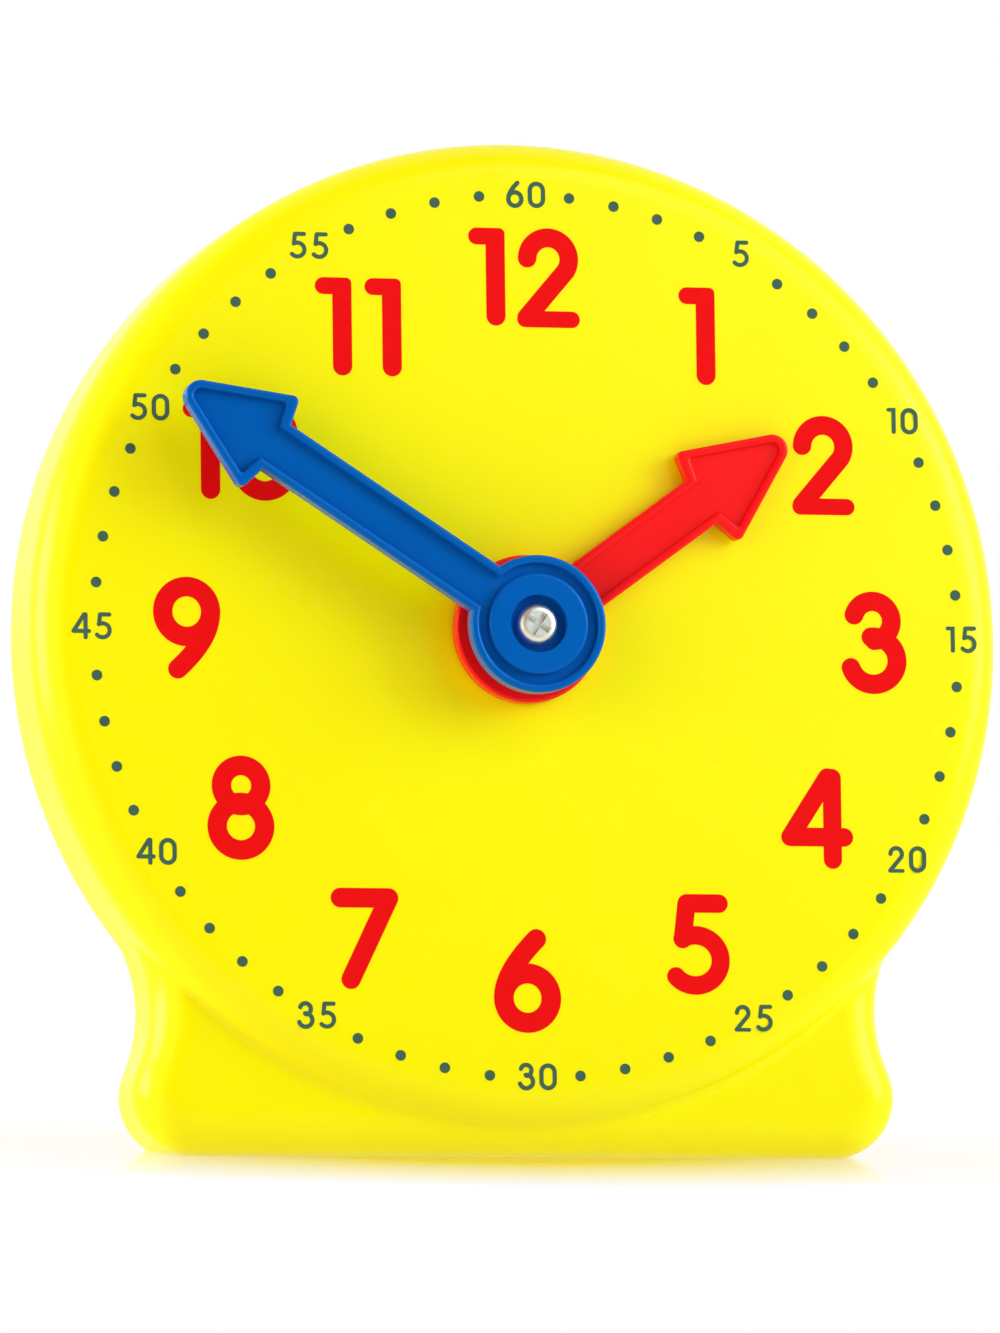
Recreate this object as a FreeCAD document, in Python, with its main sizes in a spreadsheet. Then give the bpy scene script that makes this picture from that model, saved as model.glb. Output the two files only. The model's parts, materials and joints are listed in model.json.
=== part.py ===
import FreeCAD, Part
import math
import os
import re

import Sketcher
from FreeCAD import Placement, Rotation, Vector
from fcgear import fcgear, involute

# A small geared teaching clock: a moulded case, a gear train and two hands.
#
# Each piece is drawn in the dial's own frame: x to the right and y upwards in the face of the dial,
# z out of it, with the hand axis at x = y = 0 and the face of the dial at z = 0. The pieces are then
# leaned back together and stood on their base. Lengths are in millimetres and angles in degrees.

# Driving dimensions, one for each size that can be set by itself
SIZES = {
    # Case
    "disc_radius": 50.8,
    "dial_edge_radius": 4.0,
    "case_depth": 13.8,
    "wall": 2.0,
    "lean_angle": 8.0,
    "base_set_back": 2.6,
    "base_edge_radius": 4.0,
    "crease_radius": 1.2,
    "base_lip": 0.3,
    "base_reach": 2.6,
    "base_side_wall": 3.9,
    "base_floor_wall": 3.8,
    "base_corner_radius": 3.0,
    "foot_half_width": 40.0,
    "foot_radius": 6.3,
    "waist_radius": 15.3,
    "back_edge_radius": 0.8,
    "cover_gap": 0.15,
    "heel_depth": 20.5,
    "heel_height": 20.4,
    # Gears
    "train_clearance": 5.88,
    "pressure_angle": 25.0,
    "addendum_share": 1.0,
    "dedendum_share": 1.25,
    "tooth_fillet_share": 0.3,
    "minute_teeth": 15,
    "idler_teeth": 45,
    "idler_pinion_teeth": 12,
    "hour_teeth": 48,
    "center_gap": 0.12,
    "gear_width_share": 0.265,
    "layer_gap_share": 0.12,
    "end_play": 0.2,
    "web_recess": 0.7,
    "web_rim": 2.2,
    "web_hub": 1.6,
    # Shafts and bearings
    "running_gap": 0.06,
    "seat_gap": 0.03,
    "boss_height": 1.0,
    "boss_wall": 2.0,
    "sleeve_radius": 4.0,
    "sleeve_flat": 3.4,
    "arbor_radius": 2.5,
    "arbor_end_radius": 1.8,
    "arbor_end_flat": 1.55,
    "collar_radius": 3.4,
    "journal_radius": 2.0,
    "journal_skin": 1.2,
    "pin_radius": 1.5,
    "pin_skin": 1.2,
    "pin_chamfer": 0.3,
    "washer_height": 0.8,
    "washer_thickness": 0.3,
    "washer_radius": 3.9,
    # Hands
    "minute_angle": 303.15,
    "hour_angle": 54.1,
    "minute_length": 43.25,
    "hour_length": 33.8,
    "minute_hub_radius": 7.05,
    "hour_hub_radius": 7.6,
    "arm_half_width": 2.7,
    "head_length": 10.2,
    "head_half_angle": 24.6,
    "head_notch": 0.75,
    "tip_radius": 1.6,
    "barb_radius": 0.6,
    "rim_width": 0.85,
    "rim_round": 0.35,
    "dial_gap": 0.5,
    "hand_gap": 0.4,
    "hour_thickness": 1.8,
    "hour_recess": 0.8,
    "spacer_radius": 4.6,
    "spacer_height": 2.3,
    "minute_thickness": 1.9,
    "minute_recess": 0.9,
    "boss_radius": 5.2,
    "well_radius": 2.95,
    "well_depth": 1.5,
    # Screws
    "head_radius": 2.1,
    "head_height": 1.3,
    "head_round": 0.8,
    "shank_radius": 1.1,
    "shank_length": 6.0,
    "cross_length": 2.6,
    "cross_width": 0.6,
    "cross_depth": 0.7,
    "screw_inset": 8.5,
    "screw_angle": 44.0,
    "pilot_skin": 4.1,
    "case_head_radius": 2.5,
    "case_head_height": 1.5,
    "head_recess": 1.0,
    "well_floor": 1.4,
    "well_wall": 1.5,
    # Cutting tools run past the faces that they leave by this much
    "overrun": 1.0,
}

document = FreeCAD.newDocument("TeachingClock")
sheet = document.addObject("Spreadsheet::Sheet", "Sizes")
for row, (alias, number) in enumerate(SIZES.items(), start=1):
    sheet.set("A%d" % row, alias.replace("_", " "))
    sheet.set("B%d" % row, str(number))
    sheet.setAlias("B%d" % row, alias)
document.recompute()


def full(text):
    """The expression with each size's name pointed at its cell."""
    return re.sub(r"[a-z_]+", lambda word: "Sizes." + word[0] if word[0] in SIZES else word[0], text)


def value(text):
    """What an expression in the sizes comes to now."""
    return float(sheet.evalExpression(full(text)))


def minus(first, second):
    return "(%s) - (%s)" % (first, second)


def plus(first, second):
    return "(%s) + (%s)" % (first, second)


# Sizes and places that several pieces share. The train fills the case: its module follows the disc's
# radius, and its widths follow the case's inner depth.
INNER_RADIUS = "disc_radius - wall"
TEETH_ACROSS = "minute_teeth / 2 + idler_teeth + addendum_share"
GEAR_MODULE = "(disc_radius - wall - train_clearance - center_gap) / (%s)" % TEETH_ACROSS
GEAR_DISTANCE = "%s * (minute_teeth + idler_teeth) / 2 + center_gap" % GEAR_MODULE
COVER_INSIDE = "-(case_depth - wall)"
GEAR_WIDTH = "gear_width_share * (case_depth - 2 * wall)"
LAYER_GAP = "layer_gap_share * (case_depth - 2 * wall)"
BOSS_FACE = "-(wall + boss_height)"
HOUR_GEAR_HIGH = minus(BOSS_FACE, "end_play")
HOUR_GEAR_LOW = minus(HOUR_GEAR_HIGH, GEAR_WIDTH)
IDLER_GEAR_HIGH = minus(HOUR_GEAR_LOW, LAYER_GAP)
IDLER_GEAR_LOW = minus(IDLER_GEAR_HIGH, GEAR_WIDTH)
PIN_FACE = minus(IDLER_GEAR_LOW, "end_play")
JOURNAL_FACE = minus(IDLER_GEAR_LOW, "washer_height")
JOURNAL_END = "-(case_depth - journal_skin)"
HOUR_HAND_LOW = "dial_gap"
HOUR_HAND_HIGH = plus(HOUR_HAND_LOW, "hour_thickness")
SPACER_LOW = plus(HOUR_HAND_HIGH, "hand_gap")
MINUTE_HAND_LOW = plus(SPACER_LOW, "spacer_height")
MINUTE_HAND_HIGH = plus(MINUTE_HAND_LOW, "minute_thickness")
WELL_FLOOR = minus(MINUTE_HAND_HIGH, "well_depth")
SCREW_SEAT = plus("-case_depth", "case_head_height + head_recess")
SCREW_BOSS_FACE = plus(SCREW_SEAT, "well_floor")
FLOOR_BACK = "base_set_back + base_edge_radius"
CAVITY_HALF = "foot_half_width - base_side_wall"
BASE_DROP = "disc_radius + base_reach"
CAVITY_FLOOR = "-(%s - base_floor_wall)" % BASE_DROP
HEEL_TOP = minus("heel_height", BASE_DROP)
HEEL_FACE = "-(case_depth + seat_gap)"
PILOT_END = "-pilot_skin"
CASE_SCREW_TIP = minus(PILOT_END, "end_play")
SCREW_SPREAD = "(disc_radius - wall - screw_inset) * cos(screw_angle)"
SCREW_RISE = "(disc_radius - wall - screw_inset) * sin(screw_angle)"
SCREW_PLACES = [(x, y) for x in (SCREW_SPREAD, "-" + SCREW_SPREAD) for y in (SCREW_RISE, "-" + SCREW_RISE)]

# Directions in degrees from the right, a whole turn and the reach of equality
UP, DOWN = 90.0, -90.0
FULL_TURN = 360.0
TOLERANCE = 1e-6


# Drawing

def new_body(name):
    body = document.addObject("PartDesign::Body", name)
    body.Label = name
    return body


def new_sketch(body, name, height, role="XY_Plane"):
    """An empty sketch on one of the body's own planes, moved along its normal."""
    sketch = body.newObject("Sketcher::SketchObject", name)
    plane = [feature for feature in body.Origin.OriginFeatures if feature.Role == role][0]
    sketch.AttachmentSupport = [(plane, "")]
    sketch.MapMode = "FlatFace"
    if height:
        sketch.setExpression("AttachmentOffset.Base.z", full(height))
    return sketch


def bind(sketch, text, kind, *where):
    """Adds a dimension and ties it to the sheet."""
    index = sketch.addConstraint(Sketcher.Constraint(kind, *where, value(text)))
    sketch.setExpression("Constraints[%d]" % index, full(text))


def pin_point(sketch, item, point, x, y):
    """Holds a point of the sketch at a place given from the sketch's origin."""
    if x == "0" and y == "0":
        sketch.addConstraint(Sketcher.Constraint("Coincident", item, point, -1, 1))
        return
    if x == "0":
        sketch.addConstraint(Sketcher.Constraint("PointOnObject", item, point, -2))
    else:
        bind(sketch, x, "DistanceX", -1, 1, item, point)
    if y == "0":
        sketch.addConstraint(Sketcher.Constraint("PointOnObject", item, point, -1))
    else:
        bind(sketch, y, "DistanceY", -1, 1, item, point)


def draw_circle(sketch, radius, x="0", y="0"):
    shape = Part.Circle(Vector(value(x), value(y), 0), Vector(0, 0, 1), value(radius))
    item = sketch.addGeometry(shape, False)
    pin_point(sketch, item, 3, x, y)
    bind(sketch, radius, "Radius", item)


def draw_polygon(sketch, corners):
    """A closed outline through corners that are each held by two dimensions."""
    points = [Vector(value(x), value(y), 0) for x, y in corners]
    sides = [Part.LineSegment(a, b) for a, b in zip(points, points[1:] + points[:1])]
    first = sketch.addGeometry(sides, False)[0]
    for number, (x, y) in enumerate(corners):
        before = (number - 1) % len(corners)
        sketch.addConstraint(Sketcher.Constraint("Coincident", first + before, 2, first + number, 1))
        pin_point(sketch, first + number, 1, x, y)


def draw_chain(sketch, corners):
    """Lines from corner to corner, each held by two dimensions. Gives the first and the last line."""
    points = [Vector(value(x), value(y), 0) for x, y in corners]
    first = sketch.addGeometry([Part.LineSegment(a, b) for a, b in zip(points, points[1:])], False)[0]
    last = first + len(corners) - 2
    for number, (x, y) in enumerate(corners[:-1], start=first):
        pin_point(sketch, number, 1, x, y)
    for number in range(first, last):
        sketch.addConstraint(Sketcher.Constraint("Coincident", number, 2, number + 1, 1))
    pin_point(sketch, last, 2, *corners[-1])
    return first, last


def mirrored(corners):
    """The corners of a right half, followed by those of its left half."""
    return corners + [("-(%s)" % x, y) for x, y in reversed(corners) if x != "0"]


def rectangle(half_width, low, high):
    return mirrored([(half_width, low), (half_width, high)])


def draw_arc(sketch, center, radius, start, end):
    circle = Part.Circle(center, Vector(0, 0, 1), radius)
    return sketch.addGeometry(Part.ArcOfCircle(circle, start, end), False)


def draw_flatted_circle(sketch, radius, flat):
    """A circle cut by two level flats, for a drive that can't slip round."""
    half = math.asin(value(flat) / value(radius))
    reach = value(radius) * math.cos(half)
    right = draw_arc(sketch, Vector(0, 0, 0), value(radius), -half, half)
    left = draw_arc(sketch, Vector(0, 0, 0), value(radius), math.pi - half, math.pi + half)
    rise = value(flat)
    upper = sketch.addGeometry(Part.LineSegment(Vector(reach, rise, 0), Vector(-reach, rise, 0)), False)
    lower = sketch.addGeometry(Part.LineSegment(Vector(-reach, -rise, 0), Vector(reach, -rise, 0)), False)
    for arc in (right, left):
        sketch.addConstraint(Sketcher.Constraint("Coincident", arc, 3, -1, 1))
        bind(sketch, radius, "Radius", arc)
    joints = [(right, 2, upper, 1), (upper, 2, left, 1), (left, 2, lower, 1), (lower, 2, right, 1)]
    for joint in joints:
        sketch.addConstraint(Sketcher.Constraint("Coincident", *joint))
    for line, height in ((upper, flat), (lower, "-(%s)" % flat)):
        sketch.addConstraint(Sketcher.Constraint("Horizontal", line))
        bind(sketch, height, "DistanceY", -1, 1, line, 1)


def waist_center(disc, foot, foot_radius, waist_radius):
    """The center of the arc that touches the disc and the foot's corner from outside."""
    from_disc = disc + waist_radius
    from_foot = foot_radius + waist_radius
    spread = (from_disc ** 2 + foot.Length ** 2 - from_foot ** 2) / (2 * from_disc * foot.Length)
    turn = math.atan2(foot.y, foot.x) + math.acos(spread)
    return Vector(from_disc * math.cos(turn), from_disc * math.sin(turn), 0)


def draw_case_outline(sketch):
    """The disc's edge running through a hollow waist into two round feet and a level bottom."""
    disc_text = "disc_radius - base_lip"
    foot_x = "foot_half_width - foot_radius"
    foot_y = "-(%s - foot_radius)" % BASE_DROP
    disc, foot_radius, waist_radius = value(disc_text), value("foot_radius"), value("waist_radius")
    foot = Vector(value(foot_x), value(foot_y), 0)
    waist = waist_center(disc, foot, foot_radius, waist_radius)
    to_waist = math.atan2(waist.y, waist.x)
    foot_to_waist = math.atan2(waist.y - foot.y, waist.x - foot.x)
    half, full_turn = math.pi, 2 * math.pi
    right_waist, left_waist = waist, Vector(-waist.x, waist.y, 0)
    left_foot = Vector(-foot.x, foot.y, 0)
    rim = draw_arc(sketch, Vector(0, 0, 0), disc, to_waist, half - to_waist)
    waist_right = draw_arc(sketch, right_waist, waist_radius, half + to_waist, half + foot_to_waist)
    foot_right = draw_arc(sketch, foot, foot_radius, -half / 2, foot_to_waist)
    foot_left = draw_arc(sketch, left_foot, foot_radius, half - foot_to_waist, half * 3 / 2)
    waist_left = draw_arc(sketch, left_waist, waist_radius, full_turn - foot_to_waist, full_turn - to_waist)
    floor = -value(BASE_DROP)
    bottom_line = Part.LineSegment(Vector(left_foot.x, floor, 0), Vector(foot.x, floor, 0))
    bottom = sketch.addGeometry(bottom_line, False)
    sketch.addConstraint(Sketcher.Constraint("Coincident", rim, 3, -1, 1))
    bind(sketch, disc_text, "Radius", rim)
    for arc, x in ((foot_right, foot_x), (foot_left, "-(%s)" % foot_x)):
        pin_point(sketch, arc, 3, x, foot_y)
        bind(sketch, "foot_radius", "Radius", arc)
    for arc in (waist_right, waist_left):
        bind(sketch, "waist_radius", "Radius", arc)
    touching = [(rim, 1, waist_right, 1), (waist_right, 2, foot_right, 2), (foot_right, 1, bottom, 2),
                (bottom, 1, foot_left, 2), (foot_left, 1, waist_left, 1), (waist_left, 2, rim, 2)]
    for pair in touching:
        sketch.addConstraint(Sketcher.Constraint("Tangent", *pair))


def draw_disc_section(sketch):
    """Half of the disc's section, with a round edge at the front."""
    flat = "disc_radius - dial_edge_radius"
    first, last = draw_chain(sketch, [(flat, "0"), ("0", "0"), ("0", "-case_depth"),
                                      ("disc_radius", "-case_depth"), ("disc_radius", "-dial_edge_radius")])
    center = Vector(value(flat), value("-dial_edge_radius"), 0)
    front = draw_arc(sketch, center, value("dial_edge_radius"), 0.0, math.pi / 2)
    for joint in [(front, 1, last, 2), (front, 2, first, 1)]:
        sketch.addConstraint(Sketcher.Constraint("Coincident", *joint))
    bind(sketch, "dial_edge_radius", "Radius", front)


# Features

def feature_on(body, kind, name, sketch):
    feature = body.newObject("PartDesign::" + kind, name)
    feature.Profile = sketch
    body.Tip = feature
    return feature


def add(body, name, low, high, draw, *sizes):
    """Adds the prism of an outline between two heights."""
    sketch = new_sketch(body, name + "Outline", low)
    draw(sketch, *sizes)
    feature = feature_on(body, "Pad", name, sketch)
    feature.setExpression("Length", full(minus(high, low)))
    document.recompute()


def cut(body, name, low, high, draw, *sizes):
    """Removes the prism of an outline between two heights, and makes sure that it met the solid."""
    before = body.Shape.Volume
    sketch = new_sketch(body, name + "Outline", high)
    draw(sketch, *sizes)
    feature = feature_on(body, "Pocket", name, sketch)
    feature.setExpression("Length", full(minus(high, low)))
    document.recompute()
    if not body.Shape.Volume < before:
        raise RuntimeError(name + " cuts nothing")


def revolve(body, name, draw, *sizes):
    """Adds a section, drawn with x from the body's axis and y along it, turned round that axis."""
    sketch = new_sketch(body, name + "Section", "", "XZ_Plane")
    draw(sketch, *sizes)
    feature = feature_on(body, "Revolution", name, sketch)
    feature.ReferenceAxis = (sketch, ["V_Axis"])
    feature.Angle = FULL_TURN
    document.recompute()


def soften(body, name, kind, size_name, size, chosen):
    """Rounds or bevels the edges of the solid for which chosen is true."""
    base = body.Tip
    edges = ["Edge%d" % number for number, edge in enumerate(base.Shape.Edges, start=1) if chosen(edge)]
    if not edges:
        raise RuntimeError(name + " finds no edge")
    feature = body.newObject("PartDesign::" + kind, name)
    feature.Base = (base, edges)
    feature.setExpression(size_name, full(size))
    body.Tip = feature
    document.recompute()


def fillet(body, name, radius, chosen):
    soften(body, name, "Fillet", "Radius", radius, chosen)


def chamfer(body, name, size, chosen):
    soften(body, name, "Chamfer", "Size", size, chosen)


def near(first, second):
    return abs(first - second) < TOLERANCE


def at_height(height):
    """Picks edges that lie in a level plane."""
    level = value(height)
    return lambda edge: near(edge.BoundBox.ZMin, level) and near(edge.BoundBox.ZMax, level)


def round_at_height(height):
    """Picks edges in a level plane that run round the body's axis."""
    level = at_height(height)

    def chosen(edge):
        curve = edge.Curve
        round_axis = hasattr(curve, "Center") and near(curve.Center.x, 0) and near(curve.Center.y, 0)
        return round_axis and level(edge)
    return chosen


def at_corners(*corners):
    """Picks edges that stand upright on the given corners."""
    places = [(value(x), value(y)) for x, y in corners]

    def chosen(edge):
        box = edge.BoundBox
        upright = near(box.XLength, 0) and near(box.YLength, 0)
        return upright and any(near(box.XMin, x) and near(box.YMin, y) for x, y in places)
    return chosen


def tooth_solid(teeth, low, high, first_tooth):
    """Involute teeth between two heights, with a tooth centred on the given direction."""
    builder = fcgear.FCWireBuilder()
    involute.CreateExternalGear(builder, value(GEAR_MODULE), int(value(teeth)), value("pressure_angle"),
                                split=False, addCoeff=value("addendum_share"),
                                dedCoeff=value("dedendum_share"), filletCoeff=value("tooth_fillet_share"))
    outline = Part.Wire([piece.toShape() for piece in builder.wire])
    solid = Part.Face(outline).extrude(Vector(0, 0, value(minus(high, low))))
    place = Placement(Vector(0, 0, value(low)), Rotation(Vector(0, 0, 1), first_tooth))
    return solid.transformed(place.Matrix, copy=True)


def geared_body(name, teeth_shape):
    """A body that starts from finished teeth."""
    teeth = document.addObject("Part::Feature", name + "_teeth")
    teeth.Shape = teeth_shape
    body = new_body(name)
    body.BaseFeature = teeth
    document.recompute()
    return body


def draw_screw_circles(sketch, radius):
    for x, y in SCREW_PLACES:
        draw_circle(sketch, radius, x, y)


def draw_cross(sketch, x="0", y="0"):
    """A cross recess: two bars of equal length."""
    long_way, short_way = "cross_length / 2", "cross_width / 2"
    quarter = [(long_way, short_way), (short_way, short_way), (short_way, long_way)]
    upper = mirrored(quarter)
    lower = [(across, "-(%s)" % up) for across, up in reversed(upper)]
    draw_polygon(sketch, [(plus(x, across), plus(y, up)) for across, up in upper + lower])


# Case

def make_front_case():
    body = new_body("front_case")
    add(body, "Base", "-case_depth", "-base_set_back", draw_case_outline)
    fillet(body, "BaseEdge", "base_edge_radius", at_height("-base_set_back"))
    revolve(body, "Disc", draw_disc_section)
    fillet(body, "DiscCrease", "crease_radius", round_at_height("-base_set_back"))
    fillet(body, "BackEdge", "back_edge_radius", at_height("-case_depth"))
    level_bottom(body)
    behind = "-case_depth - overrun"
    cut(body, "DiscHollow", behind, "-wall", draw_circle, INNER_RADIUS)
    fillet(body, "DiscHollowEdge", "dial_edge_radius - wall", at_height("-wall"))
    cut(body, "BaseHollow", behind, "-(base_set_back + wall)",
        draw_polygon, rectangle(CAVITY_HALF, CAVITY_FLOOR, HEEL_TOP))
    fillet(body, "BaseHollowCorners", "base_corner_radius",
           at_corners((CAVITY_HALF, CAVITY_FLOOR), ("-(%s)" % CAVITY_HALF, CAVITY_FLOOR)))
    add_front_bosses(body)
    return body


def level_bottom(body):
    """Cuts the bottom along the surface that the leaning clock stands on."""
    before = body.Shape.Volume
    back = "heel_depth + overrun"
    rise = "(%s) * tan(lean_angle)" % minus(back, FLOOR_BACK)
    floor = "-(%s)" % BASE_DROP
    below = minus(floor, "overrun")
    sketch = new_sketch(body, "LevelBottomOutline", "", "YZ_Plane")
    draw_polygon(sketch, [(floor, "-(%s)" % FLOOR_BACK), (below, "-(%s)" % FLOOR_BACK),
                          (below, "-(%s)" % back), (plus(floor, rise), "-(%s)" % back)])
    feature = feature_on(body, "Pocket", "LevelBottom", sketch)
    feature.Midplane = True
    feature.setExpression("Length", full("2 * (foot_half_width + overrun)"))
    document.recompute()
    if not body.Shape.Volume < before:
        raise RuntimeError("the bottom isn't cut")


def add_front_bosses(body):
    """The bushing of the hour sleeve, the intermediate pin's seat and the screw posts."""
    add(body, "Bushing", BOSS_FACE, "-wall", draw_circle, "sleeve_radius + boss_wall")
    add(body, "PinBoss", BOSS_FACE, "-wall", draw_circle, "pin_radius + boss_wall", "0", GEAR_DISTANCE)
    add(body, "ScrewPosts", SCREW_BOSS_FACE, "-wall", draw_screw_circles, "shank_radius + boss_wall")
    cut(body, "BushingHole", BOSS_FACE, "overrun", draw_circle, "sleeve_radius + running_gap")
    cut(body, "PinSeat", minus(BOSS_FACE, "overrun"), "-pin_skin",
        draw_circle, "pin_radius + running_gap", "0", GEAR_DISTANCE)
    cut(body, "ScrewPilots", minus(SCREW_BOSS_FACE, "overrun"), PILOT_END,
        draw_screw_circles, "shank_radius + seat_gap")


def make_back_case():
    """A cover that lies in the case's opening, with a heel that keeps the leaning clock from tipping."""
    body = new_body("back_case")
    add(body, "Plate", "-case_depth", COVER_INSIDE, draw_circle, minus(INNER_RADIUS, "cover_gap"))
    half = minus(CAVITY_HALF, "cover_gap")
    low = plus(CAVITY_FLOOR, "cover_gap")
    add(body, "Spigot", HEEL_FACE, COVER_INSIDE, draw_polygon, rectangle(half, low, HEEL_TOP))
    fillet(body, "SpigotCorners", "base_corner_radius", at_corners((half, low), ("-(%s)" % half, low)))
    add(body, "Heel", "-heel_depth", HEEL_FACE, draw_polygon, rectangle(half, "-(%s)" % BASE_DROP, HEEL_TOP))
    fillet(body, "HeelEdge", "back_edge_radius", at_height("-heel_depth"))
    level_bottom(body)
    cut(body, "HeelHollow", "-(heel_depth - wall)", COVER_INSIDE, draw_polygon,
        rectangle(minus(half, "wall"), plus(low, "wall"), minus(HEEL_TOP, "wall")))
    add(body, "JournalBoss", COVER_INSIDE, JOURNAL_FACE, draw_circle, "journal_radius + boss_wall")
    add(body, "PinBoss", COVER_INSIDE, PIN_FACE, draw_circle, "pin_radius + boss_wall", "0", GEAR_DISTANCE)
    add(body, "ScrewWells", COVER_INSIDE, SCREW_BOSS_FACE, draw_screw_circles, "case_head_radius + well_wall")
    cut(body, "JournalHole", JOURNAL_END, JOURNAL_FACE, draw_circle, "journal_radius + running_gap")
    cut(body, "PinHole", "-(case_depth - pin_skin)", PIN_FACE,
        draw_circle, "pin_radius + seat_gap", "0", GEAR_DISTANCE)
    cut(body, "HeadWells", minus("-case_depth", "overrun"), SCREW_SEAT,
        draw_screw_circles, "case_head_radius + cover_gap")
    cut(body, "ScrewHoles", SCREW_SEAT, SCREW_BOSS_FACE, draw_screw_circles, "shank_radius + cover_gap")
    return body


# Gear train

def cut_web(body, low, high, hub, teeth):
    """A shallow ring sunk in one face of a wheel, to leave a rim and a hub."""
    root = "%s * (%s / 2 - dedendum_share)" % (GEAR_MODULE, teeth)

    def rings(sketch):
        draw_circle(sketch, minus(root, "web_rim"))
        draw_circle(sketch, plus(hub, "web_hub"))
    cut(body, "Web", low, high, rings)


def make_hour_wheel():
    teeth = tooth_solid("hour_teeth", HOUR_GEAR_LOW, HOUR_GEAR_HIGH, UP + value("hour_angle"))
    body = geared_body("hour_wheel", teeth)
    add(body, "Sleeve", HOUR_GEAR_HIGH, HOUR_HAND_LOW, draw_circle, "sleeve_radius")
    add(body, "SleeveEnd", HOUR_HAND_LOW, HOUR_HAND_HIGH, draw_flatted_circle, "sleeve_radius", "sleeve_flat")
    cut(body, "Bore", minus(HOUR_GEAR_LOW, "overrun"), plus(HOUR_HAND_HIGH, "overrun"),
        draw_circle, "arbor_radius + running_gap")
    cut_web(body, minus(HOUR_GEAR_HIGH, "web_recess"), HOUR_GEAR_HIGH,
            "sleeve_radius + boss_wall", "hour_teeth")
    return body


def make_intermediate_wheel():
    """Its wheel and its pinion both turn a gap down, towards a tooth of the wheels that they mesh with."""
    wheel_turn = DOWN + FULL_TURN / 2 / value("idler_teeth")
    pinion_turn = DOWN + FULL_TURN / 2 / value("idler_pinion_teeth")
    wheel = tooth_solid("idler_teeth", IDLER_GEAR_LOW, IDLER_GEAR_HIGH, wheel_turn)
    pinion = tooth_solid("idler_pinion_teeth", IDLER_GEAR_HIGH, HOUR_GEAR_HIGH, pinion_turn)
    body = geared_body("intermediate_wheel", wheel.fuse(pinion))
    cut(body, "Bore", minus(IDLER_GEAR_LOW, "overrun"), plus(HOUR_GEAR_HIGH, "overrun"),
        draw_circle, "pin_radius + running_gap")
    cut_web(body, IDLER_GEAR_LOW, plus(IDLER_GEAR_LOW, "web_recess"), "pin_radius + boss_wall", "idler_teeth")
    return body


def make_minute_arbor():
    """The shaft that the minute hand is keyed and screwed to, with its pinion."""
    teeth = tooth_solid("minute_teeth", IDLER_GEAR_LOW, IDLER_GEAR_HIGH, UP + value("minute_angle"))
    body = geared_body("minute_arbor", teeth)
    add(body, "Collar", IDLER_GEAR_HIGH, minus(HOUR_GEAR_LOW, "end_play"), draw_circle, "collar_radius")
    add(body, "Shaft", IDLER_GEAR_HIGH, SPACER_LOW, draw_circle, "arbor_radius")
    shaft_end = minus(WELL_FLOOR, "end_play")
    add(body, "ShaftEnd", SPACER_LOW, shaft_end, draw_flatted_circle, "arbor_end_radius", "arbor_end_flat")
    add(body, "Journal", plus(JOURNAL_END, "end_play"), IDLER_GEAR_LOW, draw_circle, "journal_radius")
    cut(body, "ScrewHole", minus(WELL_FLOOR, "shank_length + end_play"), plus(shaft_end, "overrun"),
        draw_circle, "shank_radius + seat_gap")
    return body


def make_intermediate_pin():
    body = new_body("intermediate_pin")
    low, high = plus("-(case_depth - pin_skin)", "seat_gap"), minus("-pin_skin", "end_play")
    add(body, "Pin", low, high, draw_circle, "pin_radius", "0", GEAR_DISTANCE)
    chamfer(body, "PinEnds", "pin_chamfer", lambda edge: at_height(low)(edge) or at_height(high)(edge))
    return body


def make_friction_washer():
    """A dished spring washer that loads the minute pinion, so the hands stay where they are set."""
    body = new_body("friction_washer")
    inner, outer = "journal_radius + cover_gap", "washer_radius"
    low, high = plus(JOURNAL_FACE, "seat_gap"), minus(IDLER_GEAR_LOW, "running_gap")
    revolve(body, "Washer", draw_polygon, [(inner, low), (outer, minus(high, "washer_thickness")),
                                           (outer, high), (inner, plus(low, "washer_thickness"))])
    return body


# Hands

def head_outline(length, start, inset):
    """The right half of an arm and arrowhead, drawn in by inset, up to where its round tip starts."""
    tip, center = minus("tip_radius", inset), "%s - tip_radius" % length
    sharp = "%s + (%s) / sin(head_half_angle)" % (center, tip)
    barb = plus("%s - head_length" % length, inset)
    barb_half = "(%s) * tan(head_half_angle)" % minus(sharp, barb)
    arm = minus("arm_half_width", inset)
    tip_start = ("(%s) * cos(head_half_angle)" % tip, "%s + (%s) * sin(head_half_angle)" % (center, tip))
    return [(arm, start), (arm, minus(barb, "head_notch")), (barb_half, barb), tip_start]


def draw_hand(sketch, length, start, inset):
    """An arm that ends in an arrowhead with a round tip."""
    right = head_outline(length, start, inset)
    first, last = draw_chain(sketch, mirrored(right)[len(right):] + right)
    half = math.radians(value("head_half_angle"))
    center = Vector(0, value("%s - tip_radius" % length), 0)
    tip = draw_arc(sketch, center, value(minus("tip_radius", inset)), half, math.pi - half)
    bind(sketch, minus("tip_radius", inset), "Radius", tip)
    for joint in [(tip, 1, last, 2), (tip, 2, first, 1)]:
        sketch.addConstraint(Sketcher.Constraint("Coincident", *joint))


def round_barbs(body, name, length, inset, radius):
    barb = head_outline(length, "0", inset)[2]
    fillet(body, name, radius, at_corners(barb, ("-(%s)" % barb[0], barb[1])))


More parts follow.
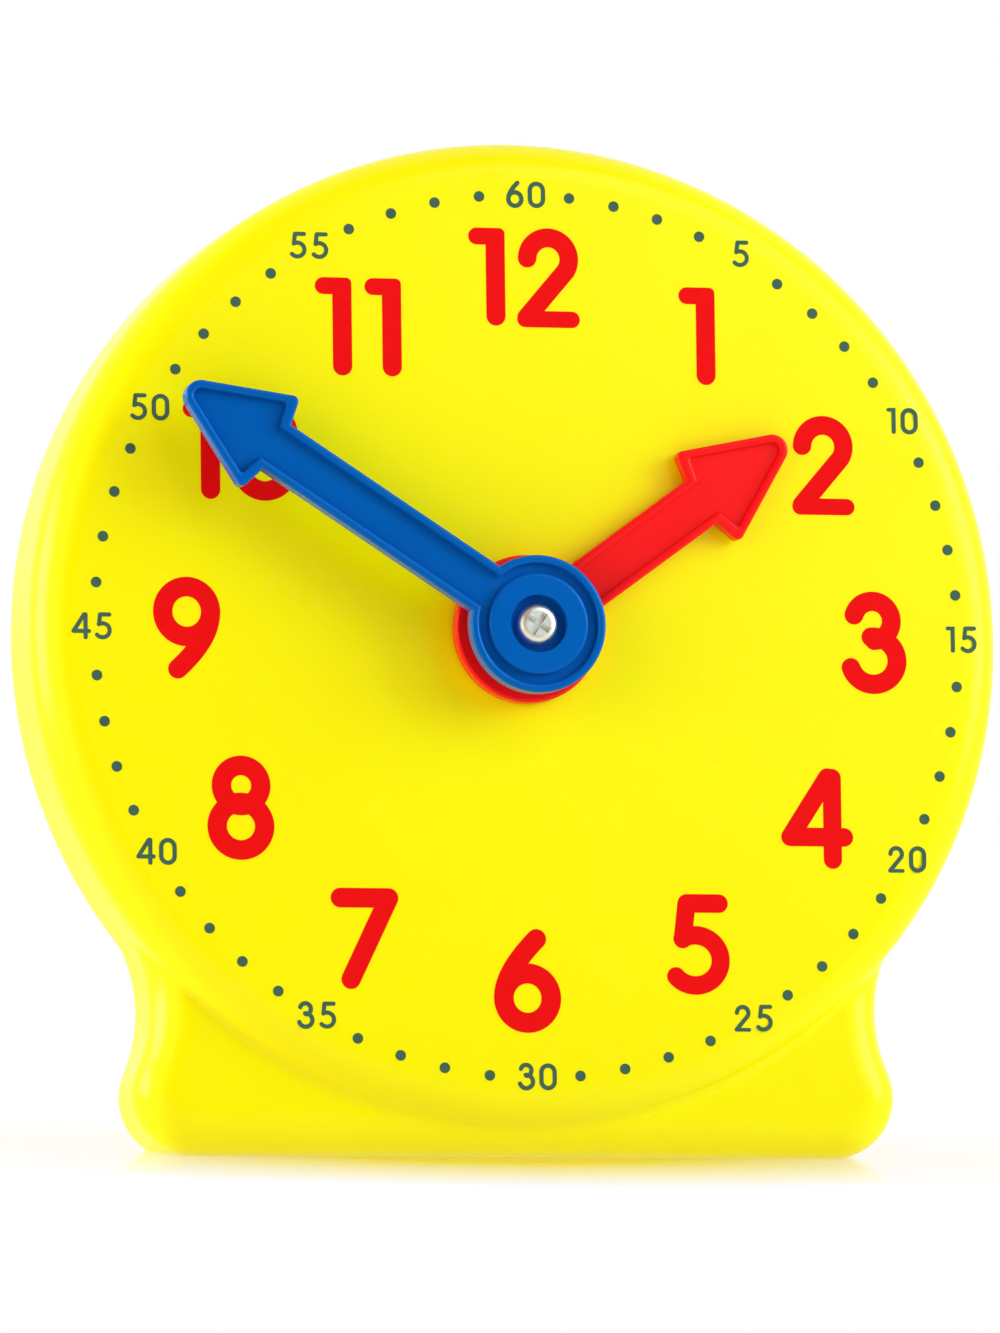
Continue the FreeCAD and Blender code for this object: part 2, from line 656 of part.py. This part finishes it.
def make_hand(name, length, hub_radius, low, high, recess, groove=None):
    """A hand with a raised rim along its arm and head, and maybe round its hub, pointing straight up."""
    body = new_body(name)
    add(body, "Arm", low, high, draw_hand, length, "0", "0")
    round_barbs(body, "Barbs", length, "0", "barb_radius")
    add(body, "Hub", low, high, draw_circle, hub_radius)
    floor = minus(high, recess)
    cut(body, "Trough", floor, high, draw_hand, length, "boss_radius", "rim_width")
    round_barbs(body, "TroughBarbs", length, "rim_width", "barb_radius / 2")
    if groove:
        cut(body, "Groove", floor, high, groove)
    fillet(body, "RimEdges", "rim_round", at_height(high))
    return body


def draw_hub_groove(sketch):
    draw_circle(sketch, minus("minute_hub_radius", "rim_width"))
    draw_circle(sketch, "boss_radius")


def make_hour_hand():
    body = make_hand("hour_hand", "hour_length", "hour_hub_radius",
                     HOUR_HAND_LOW, HOUR_HAND_HIGH, "hour_recess")
    cut(body, "Bore", HOUR_HAND_LOW, HOUR_HAND_HIGH, draw_flatted_circle,
        "sleeve_radius + seat_gap", "sleeve_flat + seat_gap")
    return body


def make_minute_hand():
    body = make_hand("minute_hand", "minute_length", "minute_hub_radius",
                     MINUTE_HAND_LOW, MINUTE_HAND_HIGH, "minute_recess", draw_hub_groove)
    add(body, "Spacer", SPACER_LOW, MINUTE_HAND_LOW, draw_circle, "spacer_radius")
    cut(body, "Well", WELL_FLOOR, MINUTE_HAND_HIGH, draw_circle, "well_radius")
    cut(body, "Bore", SPACER_LOW, WELL_FLOOR, draw_flatted_circle,
        "arbor_end_radius + seat_gap", "arbor_end_flat + seat_gap")
    return body


# Screws

def make_hand_screw():
    body = new_body("hand_screw")
    seat, top = WELL_FLOOR, plus(WELL_FLOOR, "head_height")
    add(body, "Head", seat, top, draw_circle, "head_radius")
    fillet(body, "HeadDome", "head_round", at_height(top))
    add(body, "Shank", minus(seat, "shank_length"), seat, draw_circle, "shank_radius")
    cut(body, "Cross", minus(top, "cross_depth"), top, draw_cross)
    return body


def make_case_screws():
    """Four equal screws, driven from behind."""
    body = new_body("case_screws")
    body.AllowCompound = True
    back = minus(SCREW_SEAT, "case_head_height")
    add(body, "Heads", back, SCREW_SEAT, draw_screw_circles, "case_head_radius")
    fillet(body, "HeadDomes", "head_round", at_height(back))
    add(body, "Shanks", SCREW_SEAT, CASE_SCREW_TIP, draw_screw_circles, "shank_radius")

    def crosses(sketch):
        for x, y in SCREW_PLACES:
            draw_cross(sketch, x, y)
    cut(body, "Crosses", back, plus(back, "cross_depth"), crosses)
    return body


# Assembly

def make_parts():
    """Each piece with the turn about the hand axis that it rests at."""
    hour, minute = -value("hour_angle"), -value("minute_angle")
    return [
        (make_front_case(), 0.0),
        (make_back_case(), 0.0),
        (make_case_screws(), 0.0),
        (make_intermediate_pin(), 0.0),
        (make_friction_washer(), 0.0),
        (make_hour_wheel(), hour),
        (make_hour_hand(), hour),
        (make_intermediate_wheel(), 0.0),
        (make_minute_arbor(), minute),
        (make_minute_hand(), minute),
        (make_hand_screw(), minute),
    ]


def stand_up(parts):
    """Leans the clock back, stands it on its base and centres it on the origin."""
    lean = Placement(Vector(0, 0, 0), Rotation(Vector(1, 0, 0), UP - value("lean_angle")))
    beside = Placement(Vector(0, value(GEAR_DISTANCE), 0), Rotation())
    for body, turn in parts:
        own = Placement(Vector(0, 0, 0), Rotation(Vector(0, 0, 1), turn))
        if body.Label == "intermediate_wheel":
            own = beside
        body.Placement = lean * own
    document.recompute()
    whole = Part.makeCompound([body.Shape for body, _ in parts]).optimalBoundingBox(False)
    shift = Vector(-whole.Center.x, -whole.Center.y, -whole.ZMin)
    for body, _ in parts:
        body.Placement = Placement(shift, Rotation()) * body.Placement
    document.recompute()
    print("hand axis at the dial", shift)
    print("intermediate axis at the dial", Placement(shift, Rotation()) * lean * beside.Base)
    print("box", whole.XLength, whole.YLength, whole.ZLength)


def check(parts):
    """Stops if any object of the document failed or any piece isn't a sound solid."""
    for item in document.Objects:
        if "Invalid" in item.State or "Error" in item.State:
            raise RuntimeError(item.Name + " is " + ", ".join(item.State))
    for body, _ in parts:
        if body.Shape.isNull() or not body.Shape.isValid() or not body.Shape.Solids:
            raise RuntimeError(body.Label + " isn't a sound solid")
        print(body.Label, len(body.Shape.Solids), round(body.Shape.Volume, 3))


def export(parts):
    os.makedirs("parts", exist_ok=True)
    for body, _ in parts:
        body.Shape.exportStep("parts/%s.step" % body.Label)


parts = make_parts()
stand_up(parts)
check(parts)
export(parts)
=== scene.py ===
import json
import math

import bmesh
import bpy
from mathutils import Matrix, Vector
from mathutils.geometry import delaunay_2d_cdt


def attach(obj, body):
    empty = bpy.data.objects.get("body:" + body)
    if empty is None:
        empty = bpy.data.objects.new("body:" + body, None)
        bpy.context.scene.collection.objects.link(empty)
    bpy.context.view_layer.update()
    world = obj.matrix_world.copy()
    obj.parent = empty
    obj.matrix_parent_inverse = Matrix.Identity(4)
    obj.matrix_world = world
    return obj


# A small geared teaching clock: the finish of every piece, the printed dial, the light and the camera.
# Lengths are in metres. MM turns the sizes of the small things, given in millimetres, into metres.

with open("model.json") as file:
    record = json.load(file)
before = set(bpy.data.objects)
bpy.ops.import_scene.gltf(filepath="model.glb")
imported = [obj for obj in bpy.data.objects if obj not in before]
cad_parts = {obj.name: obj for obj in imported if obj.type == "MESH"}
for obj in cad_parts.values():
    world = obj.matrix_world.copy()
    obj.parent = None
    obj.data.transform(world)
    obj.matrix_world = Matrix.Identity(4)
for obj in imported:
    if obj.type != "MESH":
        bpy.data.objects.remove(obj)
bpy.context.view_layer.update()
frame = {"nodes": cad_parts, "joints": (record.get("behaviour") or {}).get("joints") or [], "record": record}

MM = 0.001

# The dial's own frame: x to the right, y upwards in its face, z out of it, with the hand axis at zero
HAND_JOINT = [joint for joint in frame["joints"] if joint["name"] == "minute_turn"][0]
OUT = -Vector(HAND_JOINT["axis"]).normalized()
RIGHT = Vector((1.0, 0.0, 0.0))
UPWARD = OUT.cross(RIGHT)
DIAL = Matrix((RIGHT, UPWARD, OUT)).transposed()
HAND_AXIS = Vector(HAND_JOINT["pos_m"])

# The print sits a little beside the hand axis
PRINT_OFFSET = Vector((0.638, -0.389, 0.0)) * MM
MINUTE_RING = 45.435 * MM


def from_dial(x, y, z=0.0):
    """A place given in the dial's frame, in metres, as a place in the scene."""
    return HAND_AXIS + DIAL @ Vector((x, y, z))


# Colour

WHITE = (1.0, 1.0, 1.0, 1.0)


def linear(red, green, blue):
    """A colour given in the 0 to 255 steps of a screen, as the renderer takes it."""
    def one(step):
        share = step / 255
        return share / 12.92 if share <= 0.04045 else ((share + 0.055) / 1.055) ** 2.4
    return (one(red), one(green), one(blue), 1.0)


class Nodes:
    """A material's node tree with short ways to add and join nodes."""

    # Almost all of a noise lies between these two values
    NOISE_SPAN = (0.3, 0.7)

    def __init__(self, name):
        self.material = bpy.data.materials.new(name)
        self.material.use_nodes = True
        self.tree = self.material.node_tree
        self.shader = self.tree.nodes["Principled BSDF"]

    def add(self, kind, **settings):
        node = self.tree.nodes.new("ShaderNode" + kind)
        for key, setting in settings.items():
            setattr(node, key, setting)
        return node

    def join(self, source, target):
        self.tree.links.new(source, target)

    def noise(self, scale, detail=3.0, roughness=0.5):
        """Noise fixed to the piece, with its scale in waves per metre."""
        if not hasattr(self, "place"):
            self.place = self.add("TexCoord").outputs["Object"]
        node = self.add("TexNoise")
        node.inputs["Scale"].default_value = scale
        node.inputs["Detail"].default_value = detail
        node.inputs["Roughness"].default_value = roughness
        self.join(self.place, node.inputs["Vector"])
        return node.outputs["Fac"]

    def spread(self, source, low, high):
        """Maps a noise onto the range from low to high."""
        return self.graded(source, self.NOISE_SPAN, (low, high))

    def graded(self, source, span, levels):
        """Maps the span of a value onto a range of levels, and holds it at the ends."""
        node = self.add("MapRange")
        node.inputs["From Min"].default_value, node.inputs["From Max"].default_value = span
        node.inputs["To Min"].default_value, node.inputs["To Max"].default_value = levels
        self.join(source, node.inputs["Value"])
        return node.outputs["Result"]

    def greater(self, first, second):
        """The greater of two values."""
        node = self.add("Math", operation="MAXIMUM")
        self.join(first, node.inputs[0])
        self.join(second, node.inputs[1])
        return node.outputs["Value"]

    def between(self, factor, first, second):
        """A colour between two colours."""
        node = self.add("Mix", data_type="RGBA")
        node.inputs["A"].default_value = first
        node.inputs["B"].default_value = second
        self.join(factor, node.inputs["Factor"])
        return node.outputs["Result"]

    def bump(self, height, strength, distance):
        node = self.add("Bump")
        node.inputs["Strength"].default_value = strength
        node.inputs["Distance"].default_value = distance
        self.join(height, node.inputs["Height"])
        self.join(node.outputs["Normal"], self.shader.inputs["Normal"])


# Plastic: the waves per metre of its colour, its gloss and its skin, how much its gloss changes, and its skin's
# strength and depth
COLOR_WAVES, GLOSS_WAVES, SKIN_WAVES = 35.0, 240.0, 2600.0
GLOSS_CHANGE = 0.08
SKIN = (0.12, 0.02 * MM)


def plastic(name, color, shade, roughness, specular=0.5, tint=WHITE):
    """A moulded plastic: slow colour changes, a fine skin and uneven gloss."""
    nodes = Nodes(name)
    slow = nodes.spread(nodes.noise(COLOR_WAVES), 0.0, 1.0)
    nodes.join(nodes.between(slow, color, shade), nodes.shader.inputs["Base Color"])
    gloss = nodes.spread(nodes.noise(GLOSS_WAVES), roughness * (1 - GLOSS_CHANGE), roughness * (1 + GLOSS_CHANGE))
    nodes.join(gloss, nodes.shader.inputs["Roughness"])
    nodes.shader.inputs["Specular IOR Level"].default_value = specular
    nodes.shader.inputs["Specular Tint"].default_value = tint
    nodes.bump(nodes.noise(SKIN_WAVES, 2.0), *SKIN)
    return nodes.material


# Metal: how dark its drawn lines are, how much its gloss changes, and its lines' strength and depth
LINE_SHADE = 0.86
METAL_CHANGE = 0.2
LINES = (0.1, 0.01 * MM)


def metal(name, color, roughness, grain):
    """A metal with fine drawn lines in its gloss."""
    nodes = Nodes(name)
    nodes.shader.inputs["Metallic"].default_value = 1.0
    fine = nodes.noise(grain, 4.0, 0.6)
    shade = tuple(LINE_SHADE * part for part in color[:3]) + (1.0,)
    nodes.join(nodes.between(fine, color, shade), nodes.shader.inputs["Base Color"])
    gloss = nodes.spread(fine, roughness * (1 - METAL_CHANGE), roughness * (1 + METAL_CHANGE))
    nodes.join(gloss, nodes.shader.inputs["Roughness"])
    nodes.bump(fine, *LINES)
    return nodes.material


# Ink: the waves per metre of its colour and its gloss, and its roughness and mirror level
THIN_WAVES, DULL_WAVES = 700.0, 900.0
INK_ROUGHNESS = (0.5, 0.62)
INK_SPECULAR = 0.1


def ink(name, color, shade):
    """Pad printed ink, a little uneven where it lies thin."""
    nodes = Nodes(name)
    thin = nodes.spread(nodes.noise(THIN_WAVES, 4.0), 0.0, 1.0)
    nodes.join(nodes.between(thin, color, shade), nodes.shader.inputs["Base Color"])
    nodes.join(nodes.spread(nodes.noise(DULL_WAVES), *INK_ROUGHNESS), nodes.shader.inputs["Roughness"])
    nodes.shader.inputs["Specular IOR Level"].default_value = INK_SPECULAR
    return nodes.material


# The finish of each material slot. The hands' plastics tint what they mirror.
RED_SHINE, BLUE_SHINE = (1.0, 0.5, 0.35, 1.0), (0.12, 0.5, 1.0, 1.0)
MATERIALS = {
    "case_plastic": plastic("yellow_plastic", linear(252, 244, 0), linear(250, 241, 0), 0.26, 0.2),
    "hour_hand_plastic": plastic("red_plastic", linear(250, 22, 32), linear(246, 16, 26), 0.24, 0.35,
                                 RED_SHINE),
    "minute_hand_plastic": plastic("blue_plastic", linear(0, 94, 192), linear(0, 88, 184), 0.24, 0.45,
                                   BLUE_SHINE),
    "gear_plastic": plastic("acetal", linear(238, 236, 228), linear(230, 228, 219), 0.45),
    "screw_steel": metal("nickel_plate", (0.93, 0.91, 0.88, 1.0), 0.4, 1800.0),
    "spring_steel": metal("spring_steel", (0.55, 0.56, 0.58, 1.0), 0.35, 3000.0),
    "numeral_ink": ink("red_ink", linear(238, 0, 6), linear(232, 0, 4)),
    "minute_ink": ink("blue_grey_ink", linear(58, 94, 84), linear(68, 102, 88)),
}


def dress_nodes():
    """Gives each CAD node the finish of its slot."""
    for part in frame["record"]["subparts"]:
        node = frame["nodes"][part["node"]]
        node.data.materials.clear()
        node.data.materials.append(MATERIALS[part["material_slot"]])


# Print

# Curves are drawn with a point each ARC_STEP degrees or with BOW_STEPS steps, and round ends with DISC_SIDES sides
ARC_STEP, BOW_STEPS, DISC_SIDES = 9, 10, 28
INK_HEIGHT = 0.03 * MM
# The joined outlines keep their inside alone, and corners closer than NEAR or straighter than FLAT are dropped
INSIDE, NEAR, FLAT = 1, 1e-7, 0.01


def arc(x, y, across, up, start, end):
    """Points along part of an ellipse, from one angle to another, counted anticlockwise from the right."""
    steps = max(2, math.ceil(abs(end - start) / ARC_STEP))
    turns = [math.radians(start + (end - start) * step / steps) for step in range(steps + 1)]
    return [(x + across * math.cos(turn), y + up * math.sin(turn)) for turn in turns]


def bow(first, pull, last):
    """Points along a curve that leaves its first point towards pull and comes from there to its last."""
    points = []
    for step in range(BOW_STEPS + 1):
        t = step / BOW_STEPS
        shares = ((1 - t) ** 2, 2 * t * (1 - t), t * t)
        points.append(tuple(sum(s * p[k] for s, p in zip(shares, (first, pull, last))) for k in (0, 1)))
    return points


# Each digit as strokes, with the width and the middle line of each, in millimetres from the digit's own centre
DIGITS = {
    "0": [(2.0, arc(0.0, 1.65, 2.5, 2.5, 0, 180) + arc(0.0, -1.65, 2.5, 2.5, 180, 360) + [(2.5, 1.65)])],
    "1": [(2.0, [(0.91, 4.05), (0.91, -4.05)]), (1.74, [(-1.04, 4.18), (1.04, 4.18)]), (1.2, [(1.31, 4.45)])],
    "2": [(1.95, arc(0.02, 1.93, 2.2, 2.22, 178, -32) + [(-2.3, -4.15)]), (1.7, [(-2.45, -4.3), (2.45, -4.3)])],
    "3": [(2.0, arc(-0.05, 2.31, 2.03, 2.03, 163, -85)), (2.0, arc(0.0, -1.81, 2.52, 2.45, 95, -162))],
    "4": [(1.92, [(1.65, -4.23), (1.65, 4.17)]), (1.92, [(1.17, 4.22), (-2.83, -1.93), (2.87, -1.93)])],
    "5": [(1.9, [(2.28, 4.27), (-1.12, 4.27), (-1.57, 0.59)] + arc(-0.27, -1.58, 2.68, 2.58, 120, -140))],
    "6": [(2.05, bow((0.99, 4.3), (-2.49, 0.82), (-2.49, -1.75))), (2.05, arc(0.0, -1.75, 2.49, 2.53, 180, 540))],
    "7": [(2.0, [(-2.6, 4.19), (2.45, 4.19), (-1.57, -4.13)])],
    "8": [(2.0, arc(0.08, 2.27, 2.05, 2.05, 90, 450)), (2.0, arc(0.02, -1.89, 2.47, 2.43, 90, 450))],
    "9": [(2.0, arc(0.0, 1.65, 2.49, 2.56, 0, 360)), (2.0, bow((2.48, 1.65), (2.48, -1.12), (-0.98, -4.22)))],
}


def rounded(points, width):
    """A rounded stroke as overlapping outlines: a disc at each point and a bar along each step."""
    outlines = []
    for point in points:
        outlines.append([point + Vector((math.cos(turn), math.sin(turn))) * width / 2
                         for turn in (2 * math.pi * k / DISC_SIDES for k in range(DISC_SIDES))])
    for first, last in zip(points, points[1:]):
        along = last - first
        if along.length > 0:
            side = Vector((-along.y, along.x)).normalized() * width / 2
            outlines.append([first - side, last - side, last + side, first + side])
    return outlines


def number(text, middle, step, size, boldness):
    """The outlines of a number: its digits a step apart, at a scale, with their strokes at a boldness."""
    outlines = []
    for place, digit in enumerate(text):
        shift = middle + Vector(((place - (len(text) - 1) / 2) * step, 0.0))
        for width, line in DIGITS[digit]:
            outlines += rounded([Vector(point) * size + shift for point in line], width * size * boldness)
    return outlines


def printed(name, outlines, slot_name):
    """One thin layer of ink in the shape of the joined outlines, lying on the dial."""
    corners = [corner for outline in outlines for corner in outline]
    faces = []
    for outline in outlines:
        start = faces[-1][-1] + 1 if faces else 0
        faces.append(list(range(start, start + len(outline))))
    flat, _, triangles, _, _, covers = delaunay_2d_cdt(corners, [], faces, INSIDE, NEAR)
    shape = bmesh.new()
    grown = [shape.verts.new((corner.x, corner.y, 0.0)) for corner in flat]
    for triangle, covering in zip(triangles, covers):
        if covering:
            shape.faces.new([grown[index] for index in triangle])
    loose = [vert for vert in shape.verts if not vert.link_faces]
    bmesh.ops.delete(shape, geom=loose, context="VERTS")
    bmesh.ops.dissolve_limit(shape, angle_limit=FLAT, verts=shape.verts, edges=shape.edges)
    raised = bmesh.ops.extrude_face_region(shape, geom=shape.faces[:])["geom"]
    for item in raised:
        if isinstance(item, bmesh.types.BMVert):
            item.co.z += INK_HEIGHT
    bmesh.ops.recalc_face_normals(shape, faces=shape.faces)
    mesh = bpy.data.meshes.new(name)
    shape.to_mesh(mesh)
    shape.free()
    mesh.transform(Matrix.Translation(HAND_AXIS) @ DIAL.to_4x4())
    piece = bpy.data.objects.new(name, mesh)
    bpy.context.scene.collection.objects.link(piece)
    piece.data.materials.append(MATERIALS[slot_name])
    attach(piece, "case")


def around_dial(radius, turn):
    """A place on a ring of the print, at a turn in degrees from the top, clockwise."""
    angle = math.radians(turn)
    return Vector((math.sin(angle), math.cos(angle))) * radius + PRINT_OFFSET.to_2d()


# The hours: where each number lies beside its place on the ring, and how far apart its digits are
HOUR_RING = 36.3 * MM
HOUR_TURN, MINUTE_TURN = 30, 6
HOURS = {1: (-0.04, -0.26, 0.0), 2: (-0.15, -0.13, 0.0), 3: (0.05, -0.34, 0.0), 4: (-1.37, -0.37, 0.0),
         5: (-0.88, -0.24, 0.0), 6: (-0.7, 0.78, 0.0), 7: (0.6, 0.08, 0.0), 8: (1.01, 0.05, 0.0),
         9: (0.48, 0.22, 0.0), 10: (0.61, 0.35, 6.58), 11: (0.56, 0.0, 5.2), 12: (-0.8, 0.6, 6.45)}


def print_hours():
    """The hour numerals, each a piece of ink."""
    for hour, (right, up, step) in HOURS.items():
        middle = around_dial(HOUR_RING, HOUR_TURN * hour) + Vector((right, up)) * MM
        outlines = number(str(hour), middle, step * MM, MM, 1.0)
        printed("hour_numeral_%d" % hour, outlines, "numeral_ink")


# The minutes, in the same form, with lighter strokes
MINUTE_SIZE = 0.277 * MM
MINUTE_BOLDNESS = 0.8
DOT_WIDTH = 1.1 * MM
MINUTES = {5: (0.14, 0.47, 0.0), 10: (0.26, 0.05, 1.92), 15: (0.12, 0.15, 1.92), 20: (0.23, 0.07, 2.28),
           25: (0.33, 0.2, 2.28), 30: (0.2, 0.14, 2.28), 35: (-0.03, 0.17, 2.28), 40: (0.2, 0.08, 2.28),
           45: (-0.2, 0.27, 2.28), 50: (-0.13, 0.05, 2.28), 55: (0.04, 0.37, 2.28), 60: (0.17, 0.05, 2.28)}


def print_minutes():
    """The minute numbers at each fifth place of the ring."""
    for minute, (right, up, step) in MINUTES.items():
        middle = around_dial(MINUTE_RING, MINUTE_TURN * minute) + Vector((right, up)) * MM
        outlines = number(str(minute), middle, step * MM, MINUTE_SIZE, MINUTE_BOLDNESS)
        printed("minute_number_%d" % minute, outlines, "minute_ink")


def print_dots():
    """A dot at each minute that has no number, all as one piece."""
    outlines = []
    for minute in range(1, 60):
        if minute not in MINUTES:
            outlines += rounded([around_dial(MINUTE_RING, MINUTE_TURN * minute)], DOT_WIDTH)
    printed("minute_dots", outlines, "minute_ink")


# Room

# The lamps point at MIDDLE. Each has a name, a direction, a distance, a size, a brightness and a colour.
MIDDLE = Vector((0.0, 0.0, 0.05))
COOL, WARM = (0.9, 1.15, 1.22), (1.05, 0.8, 0.5)
LAMPS = [("left_box", (-0.99, 0.07, 0.12), 0.6, 0.34, 7.0, COOL),
         ("left_front_box", (-0.8, -0.55, 0.15), 0.7, 0.5, 1.6, WARM),
         ("right_box", (0.875, -0.4, 0.3), 0.7, 0.4, 4.4, COOL),
         ("high_box", (0.5, -0.66, 0.56), 0.8, 0.6, 1.75, COOL)]


def soft_box(name, direction, distance, size, brightness, color):
    """A square lamp that shines on the clock, as bright as given, with plain white as one."""
    lamp = bpy.data.lights.new(name, "AREA")
    lamp.size = size
    lamp.energy = brightness * math.pi * size ** 2
    lamp.color = color
    box = bpy.data.objects.new(name, lamp)
    away = Vector(direction).normalized()
    box.location = MIDDLE + away * distance
    box.rotation_euler = away.to_track_quat("Z", "Y").to_euler()
    bpy.context.scene.collection.objects.link(box)


# The room is white behind the clock, dim and warm in front of it, and dark round the direction MIRRORED. The spans
# are those of a direction's share backwards and of its share along MIRRORED, over which the room changes.
ROOM_BACK, ROOM_FRONT, ROOM_DARK = 1.0, 0.45, 0.04
FRONT_COLOR = (1.0, 0.64, 0.4, 1.0)
BACK_SPAN = (-0.2, 0.3)
MIRRORED = (0.226, -0.943, 0.242)
MIRROR_SPAN = (0.8, 0.95)


def add_world():
    """A room as bright as its directions say, and plain white for the eye."""
    world = bpy.data.worlds.new("room")
    bpy.context.scene.world = world
    world.use_nodes = True
    nodes, links = world.node_tree.nodes, world.node_tree.links

    def graded(source, span, levels):
        node = nodes.new("ShaderNodeMapRange")
        node.interpolation_type = "SMOOTHSTEP"
        node.inputs["From Min"].default_value, node.inputs["From Max"].default_value = span
        node.inputs["To Min"].default_value, node.inputs["To Max"].default_value = levels
        links.new(source, node.inputs["Value"])
        return node.outputs["Result"]

    direction = nodes.new("ShaderNodeTexCoord").outputs["Generated"]
    parts = nodes.new("ShaderNodeSeparateXYZ")
    links.new(direction, parts.inputs["Vector"])
    along = nodes.new("ShaderNodeVectorMath")
    along.operation = "DOT_PRODUCT"
    along.inputs[1].default_value = MIRRORED
    links.new(direction, along.inputs[0])
    room = graded(parts.outputs["Y"], BACK_SPAN, (ROOM_FRONT, ROOM_BACK))
    dark = graded(along.outputs["Value"], MIRROR_SPAN, (0.0, ROOM_FRONT - ROOM_DARK))
    level = nodes.new("ShaderNodeMath")
    level.operation = "SUBTRACT"
    links.new(room, level.inputs[0])
    links.new(dark, level.inputs[1])
    seen = nodes.new("ShaderNodeMath")
    seen.operation = "MAXIMUM"
    links.new(level.outputs["Value"], seen.inputs[0])
    rays = nodes.new("ShaderNodeLightPath")
    links.new(rays.outputs["Is Camera Ray"], seen.inputs[1])
    links.new(seen.outputs["Value"], nodes["Background"].inputs["Strength"])
    behind = graded(parts.outputs["Y"], BACK_SPAN, (0.0, 1.0))
    white = nodes.new("ShaderNodeMath")
    white.operation = "MAXIMUM"
    links.new(behind, white.inputs[0])
    links.new(rays.outputs["Is Camera Ray"], white.inputs[1])
    tint = nodes.new("ShaderNodeMix")
    tint.data_type = "RGBA"
    tint.inputs["A"].default_value, tint.inputs["B"].default_value = FRONT_COLOR, WHITE
    links.new(white.outputs["Value"], tint.inputs["Factor"])
    links.new(tint.outputs["Result"], nodes["Background"].inputs["Color"])


# Near the clock the eye sees the base mirrored in the floor, tinted amber by FLOOR_SHADE_TINT as painted warm shade
# under the base, and plain white at the far end of this span. Distances to the sides count by less, because the
# base is long. The clock itself sees a floor glowing in the colour BOUNCE_GLOW, a painted warm light standing in
# for the light that the yellow case bounces, which near by is mixed in by NEAR_BOUNCE_GLOW.
NEAR_SPAN = (0.016, 0.054)
SIDE_SHARE = (0.75, 1.0, 1.0)
BOUNCE_GLOW, NEAR_BOUNCE_GLOW = (1.0, 0.96, 0.75, 1.0), 0.6
FLOOR_SHADE_TINT, FLOOR_METAL, FLOOR_ROUGHNESS = (1.0, 0.87, 0.6, 1.0), 0.9, 0.16
FLOOR_HALF = 4.0


def add_floor():
    """A white, glossy floor that keeps the shadow and the reflection of the base, amber near the base as painted
    shade, and glowing warm for the clock as painted bounce light.
    """
    nodes = Nodes("white_floor")
    # The amber colour of the near floor is painted warm shade under the base.
    nodes.shader.inputs["Base Color"].default_value = FLOOR_SHADE_TINT
    nodes.shader.inputs["Metallic"].default_value = FLOOR_METAL
    nodes.shader.inputs["Roughness"].default_value = FLOOR_ROUGHNESS
    scaled = nodes.add("VectorMath", operation="MULTIPLY")
    scaled.inputs[1].default_value = SIDE_SHARE
    nodes.join(nodes.add("TexCoord").outputs["Object"], scaled.inputs[0])
    away = nodes.add("VectorMath", operation="LENGTH")
    nodes.join(scaled.outputs["Vector"], away.inputs[0])
    eye = nodes.add("LightPath").outputs["Is Camera Ray"]
    far = nodes.graded(away.outputs["Value"], NEAR_SPAN, (0.0, 1.0))
    # For the clock the floor glows warm: painted bounce light from the yellow case.
    least = nodes.graded(eye, (0.0, 1.0), (NEAR_BOUNCE_GLOW, 0.0))
    white = nodes.add("Emission")
    nodes.join(nodes.between(eye, BOUNCE_GLOW, WHITE), white.inputs["Color"])
    mix = nodes.add("MixShader")
    nodes.join(nodes.greater(far, least), mix.inputs["Fac"])
    nodes.join(nodes.shader.outputs["BSDF"], mix.inputs[1])
    nodes.join(white.outputs["Emission"], mix.inputs[2])
    nodes.join(mix.outputs["Shader"], nodes.tree.nodes["Material Output"].inputs["Surface"])
    mesh = bpy.data.meshes.new("floor")
    corners = [(x * FLOOR_HALF, y * FLOOR_HALF, 0.0) for x, y in ((-1, -1), (1, -1), (1, 1), (-1, 1))]
    mesh.from_pydata(corners, [], [(0, 1, 2, 3)])
    floor = bpy.data.objects.new("floor", mesh)
    mesh.materials.append(nodes.material)
    bpy.context.scene.collection.objects.link(floor)


# Camera
IMAGE_HEIGHT = 1333
FOCAL_PIXELS = 13000
FILM = 36.0
YAW, PITCH, ROLL = 13.494, -6.393, 0.719
CAMERA_STANDS = (0.06663, 0.07109, -29.2506)


def add_camera():
    """The photograph's view, as a turn and a place in the print's frame with its minute ring as the unit."""
    turn = (Matrix.Rotation(math.radians(ROLL), 3, "Z") @ Matrix.Rotation(math.radians(PITCH), 3, "X")
            @ Matrix.Rotation(math.radians(YAW), 3, "Y"))
    eye = -(turn.transposed() @ Vector(CAMERA_STANDS)) * MINUTE_RING + PRINT_OFFSET
    data = bpy.data.cameras.new("camera")
    data.sensor_fit = "VERTICAL"
    data.sensor_height = FILM
    data.lens = FILM * FOCAL_PIXELS / IMAGE_HEIGHT
    camera = bpy.data.objects.new("camera", data)
    camera.matrix_world = Matrix.Translation(from_dial(*eye)) @ (DIAL @ turn.transposed()).to_4x4()
    bpy.context.scene.collection.objects.link(camera)
    bpy.context.scene.camera = camera


add_camera()
dress_nodes()
print_hours()
print_minutes()
print_dots()
for settings in LAMPS:
    soft_box(*settings)
add_world()
add_floor()

bpy.context.scene.view_settings.view_transform = "Standard"
